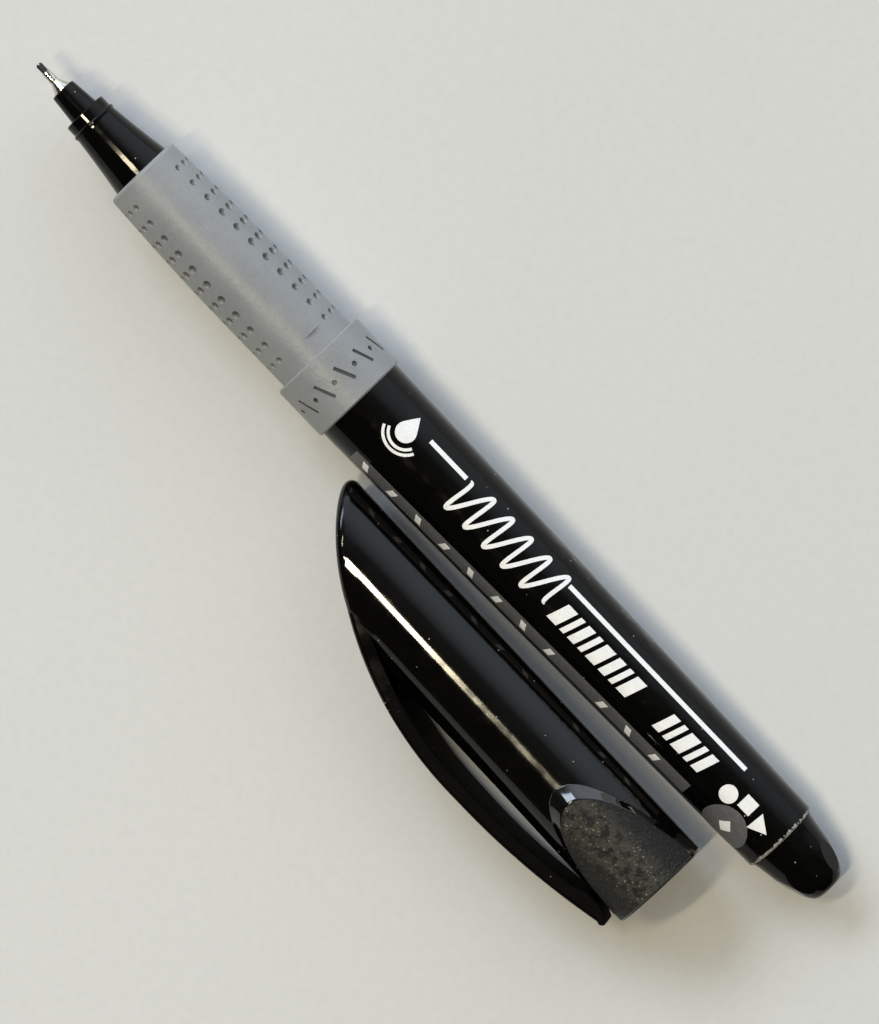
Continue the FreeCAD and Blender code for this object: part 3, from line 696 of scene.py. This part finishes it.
def print_marks(white):
    """Three bold marks on an arc round the grey disc: a dot, a block and a triangle."""
    middle_x, middle_s = SIZE_DISC
    reach = SIZE_DISC_RADIUS + 1.35
    # Number of corners, place on the arc in degrees, and radius.
    marks = ((40, 124, 1.1), (4, 90, 1.25), (3, 56, 1.4))
    polygons = []
    for corners, degrees, radius in marks:
        turn = math.radians(degrees)
        x = middle_x + reach * math.cos(turn)
        s = middle_s + reach * math.sin(turn)
        spin = turn + math.pi / corners
        angles = [spin + 2 * math.pi * i / corners for i in range(corners)]
        polygons.append(on_circle(x, s, radius, angles))
    ink_film("print_marks", polygons, white)


def print_size_disc(white, grey):
    """Grey disc low on the barrel with a white diamond on it."""
    x, s = SIZE_DISC
    ink_film("print_disc", [disc(x, s, SIZE_DISC_RADIUS)], grey)
    diamond = [(x - 0.9, s + 0.35), (x, s - 0.75), (x + 0.9, s + 0.35), (x, s + 1.45)]
    ink_film("print_disc_mark", [diamond], white, level=1)


BAND_START = (55.9, -4.84)
BAND_END = (108.75, -3.57)
BAND_WIDTH = 2.1


def print_band(white, grey):
    """Grey band along the barrel's lower side, with a row of small white marks on it."""
    (start_x, start_s), (end_x, end_s) = BAND_START, BAND_END
    band = [(start_x, start_s - BAND_WIDTH), (end_x, end_s - BAND_WIDTH),
            (end_x, end_s), (start_x, start_s)]
    ink_film("print_band", [band], grey)
    first_x, pitch = 57.9, 4.16
    left_out = 8
    polygons = []
    for index in range(12):
        if index == left_out:
            continue
        x = first_x + index * pitch
        s = start_s + (end_s - start_s) * (x - start_x) / (end_x - start_x) - BAND_WIDTH / 2
        polygons.append(slanted(x, s, width=0.85, height=1.2, lean=20 if index % 2 else -20))
    ink_film("print_band_marks", polygons, white, level=1)


def print_on_barrel():
    white = printed_ink("ink_white", (0.95, 0.95, 0.95, 1), (0.86, 0.87, 0.88, 1), 0.32)
    grey = printed_ink("ink_grey", (0.10, 0.101, 0.103, 1), (0.13, 0.131, 0.133, 1), 0.4)
    print_emblem(white)
    print_lines(white)
    print_flourish(white)
    print_bars(white)
    print_marks(white)
    print_size_disc(white, grey)
    print_band(white, grey)


# ---------------------------------------------------------------- moulded blends on the cap
CAP_MOUTH_RADIUS = 6.05
CAP_END_RADIUS = 5.95
PAD_CREST_RADIUS = 6.85
PAD_MOUTH_RADIUS = 6.12
WALL_REACH_FRONT = 2.2
WALL_REACH_SIDE = 0.8
WALL_CURVE = 1.2
WALL_STEPS = 10
TURN_STEPS = 72
# A wall stops short of the cap's mouth by MOUTH_MARGIN, and reaches into the cap by WALL_SINK. Its
# face starts RIM_DROP below the pad's rim and ends FOOT_SINK below the cap's surface. One more row
# of points is tucked under the pad.
MOUTH_MARGIN = 0.35
WALL_SINK = 0.25
RIM_DROP = 0.02
FOOT_SINK = 0.015
TUCK_BACK = 0.12
TUCK_DOWN = 0.04


def solid_grid(name, outer, inner, material):
    """Closed mesh between two equal grids of points in the cap's frame."""
    rows, columns = len(outer), len(outer[0])
    points = [CAP @ point for row in outer + inner for point in row]
    under = rows * columns
    faces = []
    for row in range(rows - 1):
        for column in range(columns - 1):
            first = row * columns + column
            quad = [first, first + 1, first + columns + 1, first + columns]
            faces.append(quad)
            faces.append([index + under for index in reversed(quad)])
    rim = list(range(columns))
    rim += [row * columns + columns - 1 for row in range(1, rows)]
    rim += [(rows - 1) * columns + column for column in range(columns - 2, -1, -1)]
    rim += [row * columns for row in range(rows - 2, 0, -1)]
    for first, last in zip(rim, rim[1:] + rim[:1]):
        faces.append([last, first, first + under, last + under])
    piece = mesh_object(name, points, faces, material)
    face_outward(piece.data, smooth=True)
    return piece


def pad_wall(name, material, side):
    """Hollow-curved wall from a thumb pad's rim down to the cap. Side is 1 above, -1 below."""
    slope = (PAD_CREST_RADIUS - PAD_MOUTH_RADIUS) / PAD_LENGTH
    outer, inner = [], []
    for turn in range(TURN_STEPS + 1):
        angle = math.pi / 2 + math.pi * turn / TURN_STEPS
        rim_x = min(CAP_LENGTH + PAD_LENGTH * math.cos(angle), CAP_LENGTH - MOUTH_MARGIN)
        top = PAD_MOUTH_RADIUS + slope * (CAP_LENGTH - rim_x)
        rim_turn = math.asin(PAD_HALF_WIDTH * math.sin(angle) / top)
        outer_row, inner_row = [], []
        for step in range(-1, WALL_STEPS + 1):
            share = max(step, 0) / WALL_STEPS
            x = rim_x + WALL_REACH_FRONT * share * math.cos(angle)
            around = rim_turn + WALL_REACH_SIDE * share * math.sin(angle) / CAP_MOUTH_RADIUS
            tube = CAP_END_RADIUS + (CAP_MOUTH_RADIUS - CAP_END_RADIUS) * x / CAP_LENGTH
            radius = tube + (top - RIM_DROP - tube) * (1 - share) ** WALL_CURVE - FOOT_SINK * share
            if step < 0:
                x += TUCK_BACK
                radius -= TUCK_DOWN
            outward = Vector((0, math.sin(around), side * math.cos(around)))
            outer_row.append(Vector((x, 0, 0)) + outward * radius)
            inner_row.append(Vector((x, 0, 0)) + outward * (tube - WALL_SINK))
        outer.append(outer_row)
        inner.append(inner_row)
    piece = solid_grid(name, outer, inner, material)
    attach(piece, "cap")


WEB_X = 21.215
WEB_HALF_LENGTH = 0.3
WEB_HALF_WIDTH = 4.15
# From the cap's axis to the web's inner and outer side.
WEB_HEIGHTS = (6.42, 8.08)
# 1 gives an oval web, and a smaller number a squarer one.
WEB_ROUNDING = 0.4
WEB_CORNERS = 32


def squared_off(value):
    """A sine or cosine pushed outward, so that a circle becomes a rounded rectangle."""
    return math.copysign(abs(value) ** WEB_ROUNDING, value)


def clip_web(material):
    """The thin web in which the clip bends, where it joins the cap."""
    middle = sum(WEB_HEIGHTS) / 2
    half_height = (WEB_HEIGHTS[1] - WEB_HEIGHTS[0]) / 2
    points = []
    for end in (-WEB_HALF_LENGTH, WEB_HALF_LENGTH):
        for corner in range(WEB_CORNERS):
            angle = 2 * math.pi * corner / WEB_CORNERS
            across = squared_off(math.cos(angle)) * WEB_HALF_WIDTH
            height = middle + squared_off(math.sin(angle)) * half_height
            points.append(CAP @ Vector((WEB_X + end, -height, across)))
    count = WEB_CORNERS
    faces = [[i, (i + 1) % count, count + (i + 1) % count, count + i] for i in range(count)]
    faces += [list(reversed(range(count))), list(range(count, 2 * count))]
    piece = mesh_object("clip_web", points, faces, material)
    face_outward(piece.data, smooth=False)
    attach(piece, "cap")


def blends_on_cap():
    black = gloss_plastic("blend_gloss", CAP, dust=0.1, level=0.8)
    pad_wall("pad_wall_upper", black, 1)
    pad_wall("pad_wall_lower", black, -1)
    clip_web(frame["nodes"]["cap_clip"].material_slots[0].material)


# ---------------------------------------------------------------- studio
TABLE_HALF_WIDTH = 3.0
LAMP_DISTANCE = 3.0


def floor():
    """Pale matt table with a faint mottle."""
    material, tree, principled = shader("table_pale")
    where = node(tree, "TexCoord").outputs["Object"]
    mottle = noise(tree, where, 900.0, 2.0)
    cloud = noise(tree, where, 9.0, 2.0)
    pale, paler = (0.66, 0.665, 0.66, 1), (0.69, 0.69, 0.68, 1)
    colour = mix_colour(tree, remap(tree, cloud, 0.3, 0.7), pale, paler)
    speckle = calc(tree, "MULTIPLY", remap(tree, mottle, 0.35, 0.7), 0.1)
    colour = mix_colour(tree, speckle, colour, (0.5, 0.5, 0.5, 1))
    feed(tree, principled, Base_Color=colour, Roughness=0.6)
    far = TABLE_HALF_WIDTH
    corners = [(-far, -far, 0), (far, -far, 0), (far, far, 0), (-far, far, 0)]
    table = mesh_object("table", corners, [(0, 1, 2, 3)], material)


def lamp(name, direction, size, strength, colour):
    """Rectangular lamp that faces the object. Strength is its radiance.

    The first size is along X, or along Y for a lamp far to the side. The second is across it.
    """
    light = bpy.data.lights.new(name, "AREA")
    light.shape = "RECTANGLE"
    light.size, light.size_y = size
    light.energy = strength * math.pi * size[0] * size[1]
    light.color = colour
    lamp_object = bpy.data.objects.new(name, light)
    facing = -Vector(direction).normalized()
    side = Vector((0, 1, 0)) if abs(facing.x) > 0.7 else Vector((1, 0, 0))
    up = facing.cross(side).normalized()
    across = up.cross(facing).normalized()
    turn = Matrix((across, up, -facing)).transposed().to_4x4()
    lamp_object.matrix_world = Matrix.Translation(-facing * LAMP_DISTANCE) @ turn
    lamp_object.visible_camera = False
    bpy.context.scene.collection.objects.link(lamp_object)


def room_light():
    """Dim room, with a broad cool brightness low on the +Y and -X side."""
    world = bpy.data.worlds.new("room")
    bpy.context.scene.world = world
    world.use_nodes = True
    tree = world.node_tree
    direction = node(tree, "TexCoord").outputs["Generated"]
    toward = Vector((-0.45, 0.8, 0.35)).normalized()
    glow = node(tree, "ValToRGB", {"Fac": dot(tree, direction, toward)})
    ramp = glow.color_ramp.elements
    ramp[0].position, ramp[0].color = 0.0, (0.045, 0.042, 0.036, 1)
    ramp[1].position, ramp[1].color = 0.94, (1.35, 1.5, 1.66, 1)
    ramp.new(0.62).color = (0.2, 0.2, 0.19, 1)
    background = tree.nodes["Background"]
    tree.links.new(glow.outputs["Color"], background.inputs["Color"])
    background.inputs["Strength"].default_value = 1.0


def studio():
    floor()
    room_light()
    warm = (1.0, 0.88, 0.62)
    cool = (0.74, 0.85, 1.0)
    lamp("key", (-0.046, -0.34, 1.0), (0.085, 0.58), 150.0, warm)
    lamp("small_warm", (-0.345, -0.22, 1.0), (0.12, 0.8), 62.0, warm)
    lamp("window", (-1.0, 0.05, 0.85), (1.8, 0.9), 9.4, cool)


CAMERA_TURN = 46.15
CAMERA_LENS = 273.0
CAMERA_FOOT = (-0.0068, 0.0063)
CAMERA_HEIGHT = 0.8765
CAMERA_SHIFT = (0.061, -0.063)


def camera():
    """Looks straight down, turned so that the pen runs from upper left to lower right."""
    data = bpy.data.cameras.new("camera")
    data.lens = CAMERA_LENS
    data.shift_x, data.shift_y = CAMERA_SHIFT
    eye = bpy.data.objects.new("camera", data)
    eye.location = (*CAMERA_FOOT, CAMERA_HEIGHT)
    eye.rotation_euler = (0, 0, math.radians(CAMERA_TURN))
    bpy.context.scene.collection.objects.link(eye)
    bpy.context.scene.camera = eye
    bpy.context.scene.view_settings.view_transform = "Standard"


dress_cad_nodes()
print_on_barrel()
blends_on_cap()
studio()
camera()
